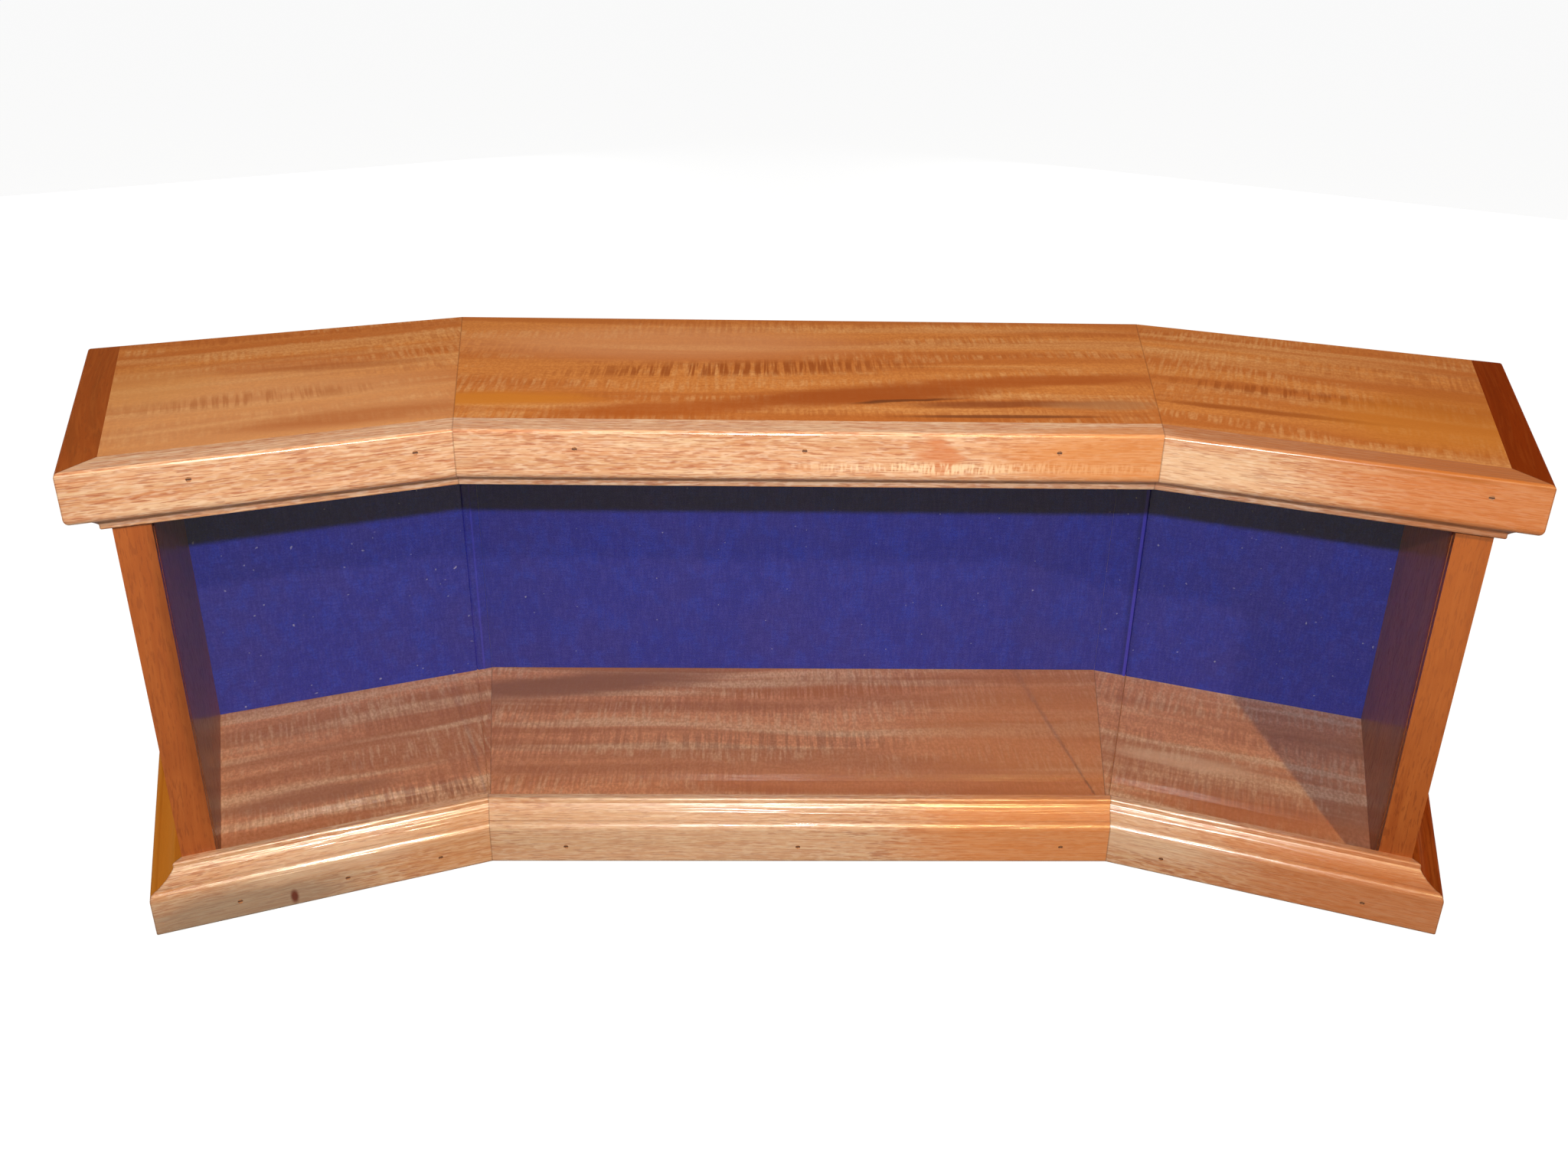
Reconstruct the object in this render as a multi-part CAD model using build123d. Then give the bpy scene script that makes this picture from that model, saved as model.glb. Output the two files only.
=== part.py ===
from build123d import *
import os
from math import cos, radians, sin, tan

# A three-bay display case: a middle bay and two wings that turn towards the front.
# Millimetres and degrees. X runs to the right, Y to the back and Z up.
# The origin is on the table, under the middle of the middle bay.

left, right = -1, 1

# Layout of the carcass, measured on the front line of its boards
centre_length = 380.0
wing_length = 171.5
wing_angle = 20.25
carcass_depth = 190.0
case_height = 280.0

# Boards, panes and lining
side_thickness = 18.0
top_thickness = 18.0
floor_thickness = 18.0
back_thickness = 8.0
felt_thickness = 1.2
glass_thickness = 3.0
glass_setback = 7.0
glass_groove_depth = 3.0
glass_clearance = 0.2
glass_joint_gap = 0.3

# Section of the moulding: the base carries it upright and the crown upside down
moulding_thickness = 18.0
moulding_height = 37.0
face_height = 23.5
edge_round = 2.0
nose_step = 3.5
nose_height = 4.5
quirk_step = 0.8
cove_hollow = 0.9
fillet_projection = 4.8
fillet_height = 3.2
fillet_round = 1.4

# Brads through the moulding into the boards. Inner ones are placed from the fold and outer
# ones from the bay's end; in the middle bay the last one is placed from the right fold.
crown_brad_drop = 10.5
base_brad_rise = 11.5
brad_shank_radius = 0.8
brad_head_radius = 1.4
brad_head_thickness = 1.0
brad_set_depth = 0.3
brad_bite = 12.0
crown_brad_left_inner = 23.0
crown_brad_left_outer = 40.0
crown_brad_centre_first = 66.0
crown_brad_centre_second = 187.0
crown_brad_centre_last = 58.0
crown_brad_right_outer = 9.0
base_brad_left_inner = 33.0
base_brad_left_middle = 86.0
base_brad_left_outer = 27.0
base_brad_centre_first = 48.0
base_brad_centre_second = 188.0
base_brad_centre_last = 32.0
base_brad_right_inner = 35.0
base_brad_right_outer = 23.0

# Rear door of the middle bay and its butt hinges
door_gap = 0.8
hinge_inset = 48.0
leaf_width = 19.0
leaf_height = 50.0
leaf_thickness = 1.2
knuckle_radius = 2.9
knuckle_count = 5
knuckle_gap = 0.3
pin_radius = 1.4
pin_clearance = 0.05
pin_head_radius = 2.2
pin_head_height = 1.2
leaf_screw_count = 3
leaf_screw_inset = 8.0
screw_head_radius = 2.7
screw_shank_radius = 1.3
screw_skin = 2.0
slot_width = 0.7
slot_depth = 0.5

# Turn buttons that hold the free side of the door, and the door's knob
running_gap = 0.3
button_inset = 75.0
button_width = 11.0
button_reach = 24.0
button_thickness = 3.0
button_chamfer = 0.6
button_screw_radius = 1.7
button_bore_clearance = 0.05
button_screw_bite = 14.0
button_head_radius = 3.6
button_head_height = 1.9
knob_inset = 36.0
knob_base_radius = 6.5
knob_base_height = 1.8
knob_neck_radius = 3.2
knob_neck_height = 4.5
knob_ball_radius = 7.0
knob_ball_sink = 1.4
knob_stud_radius = 1.8
knob_stud_skin = 2.0

half_angle = wing_angle / 2
front_y = -carcass_depth / 2
back_y = carcass_depth / 2
top_underside = case_height - top_thickness
inner_wing_length = wing_length - side_thickness
lining_depth = carcass_depth - back_thickness - felt_thickness
run_length = centre_length + wing_length + moulding_thickness
crown_brad_places = {
    left: (crown_brad_left_inner, wing_length - crown_brad_left_outer),
    0: (crown_brad_centre_first, crown_brad_centre_second, centre_length - crown_brad_centre_last),
    right: (wing_length - crown_brad_right_outer,),
}
base_brad_places = {
    left: (base_brad_left_inner, base_brad_left_middle, wing_length - base_brad_left_outer),
    0: (base_brad_centre_first, base_brad_centre_second, centre_length - base_brad_centre_last),
    right: (base_brad_right_inner, wing_length - base_brad_right_outer),
}
bay_names = {left: "left", 0: "centre", right: "right"}


# How a solid sits on the point it is placed by: its middle there, or its lower or upper end
standing = (Align.CENTER, Align.CENTER, Align.MIN)
hanging = (Align.CENTER, Align.CENTER, Align.MAX)
cornered = (Align.MIN, Align.MIN, Align.MIN)


# Plan geometry. A depth is measured square to a bay's front line, towards the back.
def wing_point(side, along, depth):
    turn = radians(wing_angle)
    x = centre_length / 2 + along * cos(turn) + depth * sin(turn)
    return (side * x, front_y - along * sin(turn) + depth * cos(turn))


def fold_point(side, depth, gap=0.0):
    x = centre_length / 2 + depth * tan(radians(half_angle)) - gap
    return (side * x, front_y + depth)


def wing_fold_point(side, depth, gap=0.0):
    return wing_point(side, gap - depth * tan(radians(half_angle)), depth)


def bay_plan(bay, near, far, end, gap=0.0):
    if bay == 0:
        near_edge = [fold_point(side, near, gap) for side in (left, right)]
        far_edge = [fold_point(side, far, gap) for side in (right, left)]
        return near_edge + far_edge
    return [
        wing_fold_point(bay, near, gap),
        wing_point(bay, end, near),
        wing_point(bay, end, far),
        wing_fold_point(bay, far, gap),
    ]


def prism(plan, low, high):
    outline = Polyline(*[(x, y, low) for x, y in plan], close=True)
    return extrude(make_face(outline), amount=high - low, dir=(0, 0, 1))


def outward(bay):
    turn = radians(wing_angle)
    return (-bay * sin(turn), -cos(turn)) if bay else (0.0, -1.0)


def save(shape, node):
    export_step(shape, f"parts/{node}.step")


# Grooves for the glass run through the floor, the top and the two side panels
def glass_groove(bay):
    plan = bay_plan(
        bay,
        glass_setback - glass_clearance,
        glass_setback + glass_thickness + glass_clearance,
        inner_wing_length + glass_groove_depth,
    )
    return prism(plan, floor_thickness - glass_groove_depth, top_underside + glass_groove_depth)


def glass_pane(bay):
    plan = bay_plan(
        bay,
        glass_setback,
        glass_setback + glass_thickness,
        inner_wing_length + glass_groove_depth - glass_clearance,
        glass_joint_gap,
    )
    low = floor_thickness - glass_groove_depth + glass_clearance
    high = top_underside + glass_groove_depth - glass_clearance
    return prism(plan, low, high)


def top_board(bay):
    plan = bay_plan(bay, 0, carcass_depth, wing_length)
    return prism(plan, top_underside, case_height) - glass_groove(bay)


def floor_board(bay):
    plan = bay_plan(bay, 0, carcass_depth, inner_wing_length)
    return prism(plan, 0, floor_thickness) - glass_groove(bay)


def side_panel(side):
    plan = [
        wing_point(side, inner_wing_length, 0),
        wing_point(side, wing_length, 0),
        wing_point(side, wing_length, carcass_depth),
        wing_point(side, inner_wing_length, carcass_depth),
    ]
    return prism(plan, 0, top_underside) - glass_groove(side)


def back_panel(bay, gap=0.0):
    plan = bay_plan(bay, carcass_depth - back_thickness, carcass_depth, inner_wing_length, gap)
    return prism(plan, floor_thickness + gap, top_underside - gap)


def felt_lining(bay, gap=0.0):
    plan = bay_plan(bay, lining_depth, carcass_depth - back_thickness, inner_wing_length, gap)
    return prism(plan, floor_thickness + gap, top_underside - gap)


# The moulding's section: X is the projection from the boards, Y the distance from its flat end
def moulding_section():
    nose_x = moulding_thickness - nose_step
    nose_y = face_height + nose_height
    cove_start = Vector(nose_x - quirk_step, nose_y)
    cove_end = Vector(fillet_projection, moulding_height - fillet_height)
    cove_line = cove_end - cove_start
    cove_inward = Vector(-cove_line.Y, cove_line.X).normalized() * cove_hollow
    cove_middle = (cove_start + cove_end) * 0.5 + cove_inward
    outline = [
        Line((0, 0), (moulding_thickness - edge_round, 0)),
        CenterArc((moulding_thickness - edge_round, edge_round), edge_round, -90, 90),
        Line((moulding_thickness, edge_round), (moulding_thickness, face_height)),
        EllipticalCenterArc((nose_x, face_height), nose_step, nose_height, 0, arc_size=90),
        Line((nose_x, nose_y), cove_start),
        ThreePointArc(cove_start, cove_middle, cove_end),
        Line(cove_end, (fillet_projection, moulding_height - fillet_round)),
        CenterArc((fillet_projection - fillet_round, moulding_height - fillet_round), fillet_round, 0, 90),
        Line((fillet_projection - fillet_round, moulding_height), (0, moulding_height)),
        Line((0, moulding_height), (0, 0)),
    ]
    return make_face(outline)


def moulding(plan, foot, direction, is_crown):
    section = moulding_section()
    if is_crown:
        section = Pos(0, case_height) * mirror(section, Plane.XZ)
    across = Vector(*direction, 0)
    run_plane = Plane(origin=(*foot, 0), x_dir=across, z_dir=across.cross(Vector(0, 0, 1)))
    bar = extrude(run_plane * section, amount=run_length, both=True)
    return bar & prism(plan, 0, case_height)


def front_moulding(bay, is_crown):
    plan = bay_plan(bay, -moulding_thickness, 0, wing_length)
    if bay:
        plan[1] = wing_point(bay, wing_length + moulding_thickness, -moulding_thickness)
    return moulding(plan, wing_fold_point(bay, 0) if bay else (0, front_y), outward(bay), is_crown)


def end_moulding(side, is_crown):
    plan = [
        wing_point(side, wing_length, 0),
        wing_point(side, wing_length + moulding_thickness, -moulding_thickness),
        wing_point(side, wing_length + moulding_thickness, carcass_depth),
        wing_point(side, wing_length, carcass_depth),
    ]
    turn = radians(wing_angle)
    return moulding(plan, wing_point(side, wing_length, 0), (side * cos(turn), -sin(turn)), is_crown)


# A brad stands along its local Z axis with its head outermost; the hole is the same shape,
# left open above the set head
def brad(open_end):
    head_low = -brad_set_depth - brad_head_thickness
    shank_length = moulding_thickness + brad_bite + head_low
    shank = Pos(0, 0, head_low) * Cylinder(brad_shank_radius, shank_length, align=hanging)
    head_length = brad_head_thickness + open_end
    head = Pos(0, 0, head_low) * Cylinder(brad_head_radius, head_length, align=standing)
    return shank + head


def brad_locations(bay, places, level):
    direction = outward(bay)
    for along in places:
        if bay:
            x, y = wing_point(bay, along, -moulding_thickness)
        else:
            x, y = (along - centre_length / 2, front_y - moulding_thickness)
        yield Plane(origin=(x, y, level), z_dir=(*direction, 0)).location


def brads(places_by_bay, level, open_end=0.0):
    shape = brad(open_end)
    return {
        bay: [location * shape for location in brad_locations(bay, places, level)]
        for bay, places in places_by_bay.items()
    }


# Countersunk screw along its local Z axis, with the top of its head at zero
def countersunk_screw(length, slotted=True):
    head_height = screw_head_radius - screw_shank_radius
    head = Cone(screw_shank_radius, screw_head_radius, head_height, align=hanging)
    shank = Cylinder(screw_shank_radius, length, align=hanging)
    screw = head + shank
    if slotted:
        screw -= Box(3 * screw_head_radius, slot_width, 2 * slot_depth)
    return screw


# The hinge is drawn about its pin, with the door's face below it and the door towards +X
def hinge_leaf(own_knuckles):
    pitch = leaf_height / knuckle_count
    face = -(knuckle_radius + knuckle_gap)
    plate_start = knuckle_radius + knuckle_gap
    plate = Box(leaf_width - plate_start, leaf_thickness, leaf_height, align=cornered)
    leaf = Pos(plate_start, face, 0) * plate
    for index in own_knuckles:
        low = index * pitch + knuckle_gap / 2
        high = (index + 1) * pitch - knuckle_gap / 2
        barrel = Pos(0, 0, low) * Cylinder(knuckle_radius, high - low, align=standing)
        web = Pos(0, face, low) * Box(plate_start, leaf_thickness, high - low, align=cornered)
        leaf = leaf + barrel + web
    leaf -= Cylinder(pin_radius + pin_clearance, 2 * leaf_height)
    for location in leaf_screw_locations():
        leaf -= location * countersunk_screw(leaf_thickness, slotted=False)
    return leaf


def leaf_screw_locations():
    x = (knuckle_radius + knuckle_gap + leaf_width) / 2
    y = leaf_thickness - knuckle_radius - knuckle_gap
    pitch = (leaf_height - 2 * leaf_screw_inset) / (leaf_screw_count - 1)
    for index in range(leaf_screw_count):
        level = leaf_screw_inset + index * pitch
        yield Plane(origin=(x, y, level), x_dir=(1, 0, 0), z_dir=(0, 1, 0)).location


def leaf_screws(slotted=True):
    length = leaf_thickness + back_thickness - screw_skin
    return [location * countersunk_screw(length, slotted) for location in leaf_screw_locations()]


def hinge_pin():
    pin_low = (knuckle_gap + pin_head_height) / 2
    shank = Pos(0, 0, pin_low) * Cylinder(pin_radius, leaf_height - pin_low, align=standing)
    head_low = leaf_height - knuckle_gap / 2
    head = Pos(0, 0, head_low) * Cylinder(pin_head_radius, pin_head_height, align=standing)
    return shank + head


def hinge_axis():
    x, y = fold_point(left, carcass_depth)
    height = knuckle_radius + knuckle_gap
    return (x - height * tan(radians(half_angle)), y + height)


def hinge_levels():
    return {
        "lower": floor_thickness + hinge_inset,
        "upper": top_underside - hinge_inset - leaf_height,
    }


def on_door(shape, level):
    return Pos(*hinge_axis(), level) * shape


def on_wing(shape, level):
    return Pos(*hinge_axis(), level) * Rot(0, 0, wing_angle) * mirror(shape, Plane.YZ)


# A turn button lies along +X from its pivot, with its inner face at zero height
def turn_button():
    end = button_reach - button_width / 2
    outline = SlotCenterToCenter(end, button_width)
    plate = extrude(Pos(end / 2, 0) * outline, amount=button_thickness)
    plate = chamfer(plate.faces().sort_by(Axis.Z)[-1].edges(), button_chamfer)
    return plate - Cylinder(button_screw_radius + button_bore_clearance, 4 * button_thickness)


def button_screw(slotted=True):
    seat = button_thickness + running_gap
    bite = button_screw_bite + running_gap
    shank = Pos(0, 0, -bite) * Cylinder(button_screw_radius, bite + seat, align=standing)
    head = Pos(0, 0, seat) * Cylinder(button_head_radius, button_head_height, align=standing)
    head = fillet(head.faces().sort_by(Axis.Z)[-1].edges(), button_head_height / 2)
    screw = shank + head
    if slotted:
        slot = Box(3 * button_head_radius, slot_width, 2 * slot_depth)
        screw -= Pos(0, 0, seat + button_head_height) * slot
    return screw


def button_place(name):
    x = fold_point(right, carcass_depth)[0] - button_inset
    level = {"top": top_underside + top_thickness / 2, "bottom": floor_thickness / 2}[name]
    lie = {"top": 1, "bottom": -1}[name]
    return Plane(origin=(x, back_y + running_gap, level), x_dir=(lie, 0, 0), z_dir=(0, 1, 0)).location


# The knob is turned about its local Z axis, with the door's face at zero
def door_knob():
    neck_top = knob_base_height + knob_neck_height
    base = Cylinder(knob_base_radius, knob_base_height, align=standing)
    neck = Cylinder(knob_neck_radius, neck_top + knob_ball_radius, align=standing)
    ball = Pos(0, 0, neck_top + knob_ball_radius - knob_ball_sink) * Sphere(knob_ball_radius)
    return base + neck + ball + knob_stud()


def knob_stud():
    stud_length = back_thickness - knob_stud_skin
    return Cylinder(knob_stud_radius, stud_length, align=hanging)


def knob_place():
    x = fold_point(right, carcass_depth)[0] - knob_inset
    level = (floor_thickness + top_underside) / 2
    return Plane(origin=(x, back_y, level), z_dir=(0, 1, 0)).location


def build_boards(crown_holes, base_holes):
    for bay, name in bay_names.items():
        top = top_board(bay)
        floor = floor_board(bay)
        if bay == 0:
            top -= button_place("top") * button_screw(slotted=False)
            floor -= button_place("bottom") * button_screw(slotted=False)
        for hole in crown_holes[bay]:
            top -= hole
        for hole in base_holes[bay]:
            floor -= hole
        save(top, f"top_board_{name}")
        save(floor, f"floor_board_{name}")
        save(glass_pane(bay), f"glass_pane_{name}")
    for side in (left, right):
        panel = side_panel(side)
        for hole in crown_holes[side] + base_holes[side]:
            panel -= hole
        save(panel, f"side_panel_{bay_names[side]}")


def build_mouldings(crown_holes, base_holes):
    for is_crown, word, holes in ((True, "crown", crown_holes), (False, "base", base_holes)):
        for bay, name in bay_names.items():
            piece = front_moulding(bay, is_crown)
            for hole in holes[bay]:
                piece -= hole
            save(piece, f"{word}_moulding_{name}")
        for side in (left, right):
            save(end_moulding(side, is_crown), f"{word}_end_{bay_names[side]}")


def build_back():
    wing_cuts = [on_wing(screw, level) for level in hinge_levels().values() for screw in leaf_screws(False)]
    door_cuts = [on_door(screw, level) for level in hinge_levels().values() for screw in leaf_screws(False)]
    for side in (left, right):
        panel = back_panel(side)
        if side == left:
            for cut in wing_cuts:
                panel -= cut
        save(panel, f"back_panel_{bay_names[side]}")
        save(felt_lining(side), f"felt_lining_{bay_names[side]}")
    door = back_panel(0, door_gap)
    for cut in door_cuts:
        door -= cut
    save(door - knob_place() * knob_stud(), "rear_door_panel")
    save(felt_lining(0, door_gap), "felt_lining_centre")
    save(knob_place() * door_knob(), "door_knob")


def build_hinges():
    case_knuckles = range(0, knuckle_count, 2)
    door_knuckles = range(1, knuckle_count, 2)
    for name, level in hinge_levels().items():
        save(on_door(hinge_leaf(door_knuckles), level), f"hinge_leaf_door_{name}")
        save(on_wing(hinge_leaf(case_knuckles), level), f"hinge_leaf_case_{name}")
        save(on_door(hinge_pin(), level), f"hinge_pin_{name}")
    for node, place in (("door_leaf_screws", on_door), ("case_leaf_screws", on_wing)):
        screws = [place(screw, level) for level in hinge_levels().values() for screw in leaf_screws()]
        save(Compound([screw.solid() for screw in screws]), node)


def build_buttons():
    for name in ("top", "bottom"):
        save(button_place(name) * turn_button(), f"turn_button_{name}")
        save(button_place(name) * button_screw(), f"turn_button_screw_{name}")


def build_brads(crown_brads, base_brads):
    for node, group in (("crown_brads", crown_brads), ("base_brads", base_brads)):
        save(Compound([piece.solid() for pieces in group.values() for piece in pieces]), node)


def main():
    os.makedirs("parts", exist_ok=True)
    crown_level = case_height - crown_brad_drop
    base_level = base_brad_rise
    crown_holes = brads(crown_brad_places, crown_level, moulding_thickness)
    base_holes = brads(base_brad_places, base_level, moulding_thickness)
    build_boards(crown_holes, base_holes)
    build_mouldings(crown_holes, base_holes)
    build_back()
    build_hinges()
    build_buttons()
    build_brads(brads(crown_brad_places, crown_level), brads(base_brad_places, base_level))


main()
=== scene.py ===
import bpy
import math
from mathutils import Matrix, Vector


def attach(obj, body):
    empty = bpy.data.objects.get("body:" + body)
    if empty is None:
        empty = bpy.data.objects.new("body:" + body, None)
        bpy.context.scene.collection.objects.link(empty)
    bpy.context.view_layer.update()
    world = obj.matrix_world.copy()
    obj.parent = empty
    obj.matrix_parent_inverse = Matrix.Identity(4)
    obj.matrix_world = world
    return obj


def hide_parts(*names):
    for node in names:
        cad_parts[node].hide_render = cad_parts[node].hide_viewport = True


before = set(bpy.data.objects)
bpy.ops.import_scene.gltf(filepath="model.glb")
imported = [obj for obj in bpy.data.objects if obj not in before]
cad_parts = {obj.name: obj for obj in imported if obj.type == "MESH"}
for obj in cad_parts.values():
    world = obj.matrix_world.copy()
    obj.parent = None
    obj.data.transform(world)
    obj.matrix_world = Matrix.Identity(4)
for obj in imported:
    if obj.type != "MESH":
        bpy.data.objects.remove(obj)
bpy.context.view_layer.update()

print("frame loaded:", len(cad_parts), "nodes")

# The looks of the display case: varnished wood, plywood, brass, glass and felt, and its studio.
# Lengths in the dictionaries are millimetres and angles degrees, unless a note says otherwise
mm = 0.001
wingAngle = 20.25
turns = {"left": -wingAngle, "centre": 0, "right": wingAngle}  # brings each bay in line with x


def toLinear(hexColour):
    channels = [int(hexColour[i:i + 2], 16) / 255 for i in (1, 3, 5)]
    return [c / 12.92 if c <= 0.04045 else ((c + 0.055) / 1.055) ** 2.4 for c in channels] + [1.0]


def addNode(tree, kind, settings=None, links=None):
    node = tree.nodes.new("ShaderNode" + kind)
    for name, value in (settings or {}).items():
        if isinstance(name, int) or name in node.inputs:
            node.inputs[name].default_value = value
        else:
            setattr(node, name, value)
    for name, source in (links or {}).items():
        tree.links.new(source, node.inputs[name])
    return node


def newMaterial(name, settings):
    material = bpy.data.materials.new(name)
    material.use_nodes = True
    shader = material.node_tree.nodes["Principled BSDF"]
    for socket, value in settings.items():
        shader.inputs[socket].default_value = value
    return material, material.node_tree, shader


def dress(nodes, material):
    for name in nodes:
        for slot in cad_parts[name].material_slots:
            slot.material = material


# A mask from 0 to 1: a soft spot, full within its core and gone at its reach, or soft noise
# whose cells have a real size
def makeMask(tree, vectors, layer):
    if "spot" in layer:
        placed = addNode(
            tree, "Mapping",
            {"vector_type": "TEXTURE", "Location": layer["spot"], "Scale": layer["reach"],
             "Rotation": (0, 0, math.radians(layer.get("tilt", 0)))},
            {"Vector": vectors[layer.get("on", "ragged")]},
        )
        length = addNode(tree, "VectorMath", {"operation": "LENGTH"}, {0: placed.outputs[0]})
        value = length.outputs["Value"]
        low, high = 1.0, layer.get("core", 0.35)
    else:
        scale = [1 / size for size in layer["cell"]]
        placed = addNode(tree, "Mapping", {"Scale": scale}, {"Vector": vectors["grain"]})
        value = addNode(
            tree, "TexNoise",
            {"Scale": 1.0, "Detail": layer.get("detail", 2.0), "Distortion": layer.get("distortion", 0.0)},
            {"Vector": placed.outputs[0]},
        ).outputs[0]
        low, high = layer["cut"]
    mask = addNode(
        tree, "MapRange",
        {"interpolation_type": "SMOOTHSTEP", "From Min": low, "From Max": high},
        {0: value},
    ).outputs[0]
    if "within" in layer:
        inner = makeMask(tree, vectors, layer["within"])
        mask = addNode(tree, "Math", {"operation": "MULTIPLY"}, {0: mask, 1: inner}).outputs[0]
    return mask


# Paints the layers over a base colour, from the first to the last. It also gives back the mask
# of the layer that stands in relief.
def paintLayers(tree, vectors, base, layers):
    colour = None
    relief = None
    for layer in layers:
        mask = makeMask(tree, vectors, layer)
        share = addNode(tree, "Math", {"operation": "MULTIPLY", 1: layer["share"]}, {0: mask})
        mix = addNode(
            tree, "Mix",
            {"data_type": "RGBA", 6: toLinear(base), 7: toLinear(layer["colour"])},
            {0: share.outputs[0]},
        )
        if colour:
            tree.links.new(colour, mix.inputs[6])
        colour = mix.outputs[2]
        if layer.get("relief"):
            relief = mask
    return colour, relief


# Object coordinates in millimetres, as they are and turned in line with one bay
def makePlace(tree, bay):
    place = addNode(tree, "TexCoord")
    world = addNode(
        tree, "Mapping", {"Scale": (1 / mm, 1 / mm, 1 / mm)}, {"Vector": place.outputs["Object"]}
    ).outputs[0]
    turn = (0, 0, math.radians(turns[bay]))
    flat = addNode(tree, "Mapping", {"Rotation": turn}, {"Vector": world}).outputs[0]
    return world, flat


# A mask of an upright sheet's edges: 0 where it faces the front or back of its bay as squarely
# as the first share, and 1 from the second share down
def makeEdgeMask(tree, bay, shares):
    surface = addNode(tree, "NewGeometry")
    turn = (0, 0, math.radians(turns[bay]))
    turned = addNode(tree, "Mapping", {"Rotation": turn}, {"Vector": surface.outputs["Normal"]})
    parts = addNode(tree, "SeparateXYZ", None, {0: turned.outputs[0]})
    facing = addNode(tree, "Math", {"operation": "ABSOLUTE"}, {0: parts.outputs["Y"]})
    limits = {"From Min": shares[0], "From Max": shares[1]}
    return addNode(tree, "MapRange", limits, {0: facing.outputs[0]}).outputs[0]


# Quarter-sawn mahogany under varnish. To the eye it is warm ribbons, fine grain lines, rows of
# short cross flecks where the grain curls, and dark open pores. Layers are painted from first
# to last, and their cells run along, across and through the board.
topWood = {  # satin, so the figure shows and little else
    "base": "#CC8242", "rough": 0.5, "coat": 0.15, "coatRough": 0.32, "specular": 0.1,
    "layers": [
        {"cell": (420, 26, 60), "cut": (0.40, 0.60), "colour": "#B4642A", "share": 0.75, "detail": 1.0},
        {"cell": (380, 20, 60), "cut": (0.50, 0.68), "colour": "#D69C64", "share": 0.65},
        {"cell": (60, 2.0, 5), "cut": (0.40, 0.68), "colour": "#B0662E", "share": 0.28},
        {"cell": (2.0, 30, 30), "cut": (0.40, 0.62), "colour": "#A2541C", "share": 0.45, "detail": 1.0,
         "within": {"cell": (150, 17, 40), "cut": (0.49, 0.64)}},
        {"cell": (2.2, 26, 26), "cut": (0.38, 0.68), "colour": "#DFAC76", "share": 0.42, "detail": 1.0,
         "within": {"cell": (120, 18, 40), "cut": (0.44, 0.64)}},
        {"cell": (1.6, 2.8, 2), "cut": (0.36, 0.62), "colour": "#A85E28", "share": 0.34, "detail": 1.0},
        {"cell": (8, 0.9, 0.9), "cut": (0.62, 0.72), "colour": "#8E4C1C", "share": 0.35, "relief": True},
    ],
}
floorWood = {  # paler and rosier, with broad light bands
    "base": "#F0A880", "rough": 0.5, "coat": 0.3, "coatRough": 0.2, "specular": 0.2,
    "layers": [
        {"cell": (400, 20, 60), "cut": (0.40, 0.60), "colour": "#C6825C", "share": 0.8, "detail": 1.0},
        {"cell": (320, 16, 60), "cut": (0.50, 0.66), "colour": "#FBD2B0", "share": 0.7},
        {"cell": (60, 2.0, 5), "cut": (0.40, 0.68), "colour": "#C07650", "share": 0.2},
        {"cell": (2.0, 36, 36), "cut": (0.40, 0.62), "colour": "#AE6444", "share": 0.42, "detail": 1.0,
         "within": {"cell": (130, 26, 40), "cut": (0.44, 0.60)}},
        {"cell": (2.4, 28, 28), "cut": (0.44, 0.66), "colour": "#F8D2B2", "share": 0.42, "detail": 1.0,
         "within": {"cell": (110, 24, 40), "cut": (0.42, 0.60)}},
        {"cell": (1.5, 3.2, 2), "cut": (0.36, 0.62), "colour": "#B8683E", "share": 0.38, "detail": 1.0},
        {"cell": (8, 0.9, 0.9), "cut": (0.62, 0.72), "colour": "#A0603A", "share": 0.4, "relief": True},
    ],
}
mouldingWood = {  # full gloss over short light and dark flecks
    "base": "#E4B28E", "rough": 0.45, "coat": 1.0, "coatRough": 0.22, "wander": 7,
    "ridges": {"Distance": 0.2 * mm},
    "layers": [
        {"cell": (170, 10, 10), "cut": (0.42, 0.62), "colour": "#CC9367", "share": 0.55},
        {"cell": (45, 6, 6), "cut": (0.54, 0.70), "colour": "#D0834E", "share": 0.45, "distortion": 0.6},
        {"cell": (60, 3.0, 3.0), "cut": (0.48, 0.68), "colour": "#EED0B0", "share": 0.5},
        {"cell": (20, 0.9, 0.9), "cut": (0.49, 0.59), "colour": "#B8663C", "share": 0.48, "relief": True},
        {"cell": (6, 1.3, 1.3), "cut": (0.46, 0.68), "colour": "#F8DEC8", "share": 0.36, "detail": 1.0},
        {"cell": (9, 0.8, 0.8), "cut": (0.55, 0.64), "colour": "#A04E2C", "share": 0.5},
    ],
}
# the foot's varnish is thicker, with ridges that break its highlights
footWood = {
    **mouldingWood, "rough": 0.3, "specular": 0.8, "coatRough": 0.2,
    "ridges": {"Distance": 0.7 * mm},
}
postWood = {  # plain and dark, with fine straight grain
    "base": "#AA5A27", "rough": 0.45, "coat": 0.25, "coatRough": 0.15, "specular": 0.2,
    "layers": [
        {"cell": (150, 9, 9), "cut": (0.45, 0.62), "colour": "#96491D", "share": 0.6},
        {"cell": (60, 1.8, 1.8), "cut": (0.45, 0.68), "colour": "#BC6E36", "share": 0.35, "detail": 1.0},
        {"cell": (8, 1.1, 1.1), "cut": (0.54, 0.64), "colour": "#7A3614", "share": 0.55, "relief": True},
        {"cell": (40, 25, 25), "cut": (0.46, 0.66), "colour": "#8E421A", "share": 0.45},
    ],
}
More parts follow.
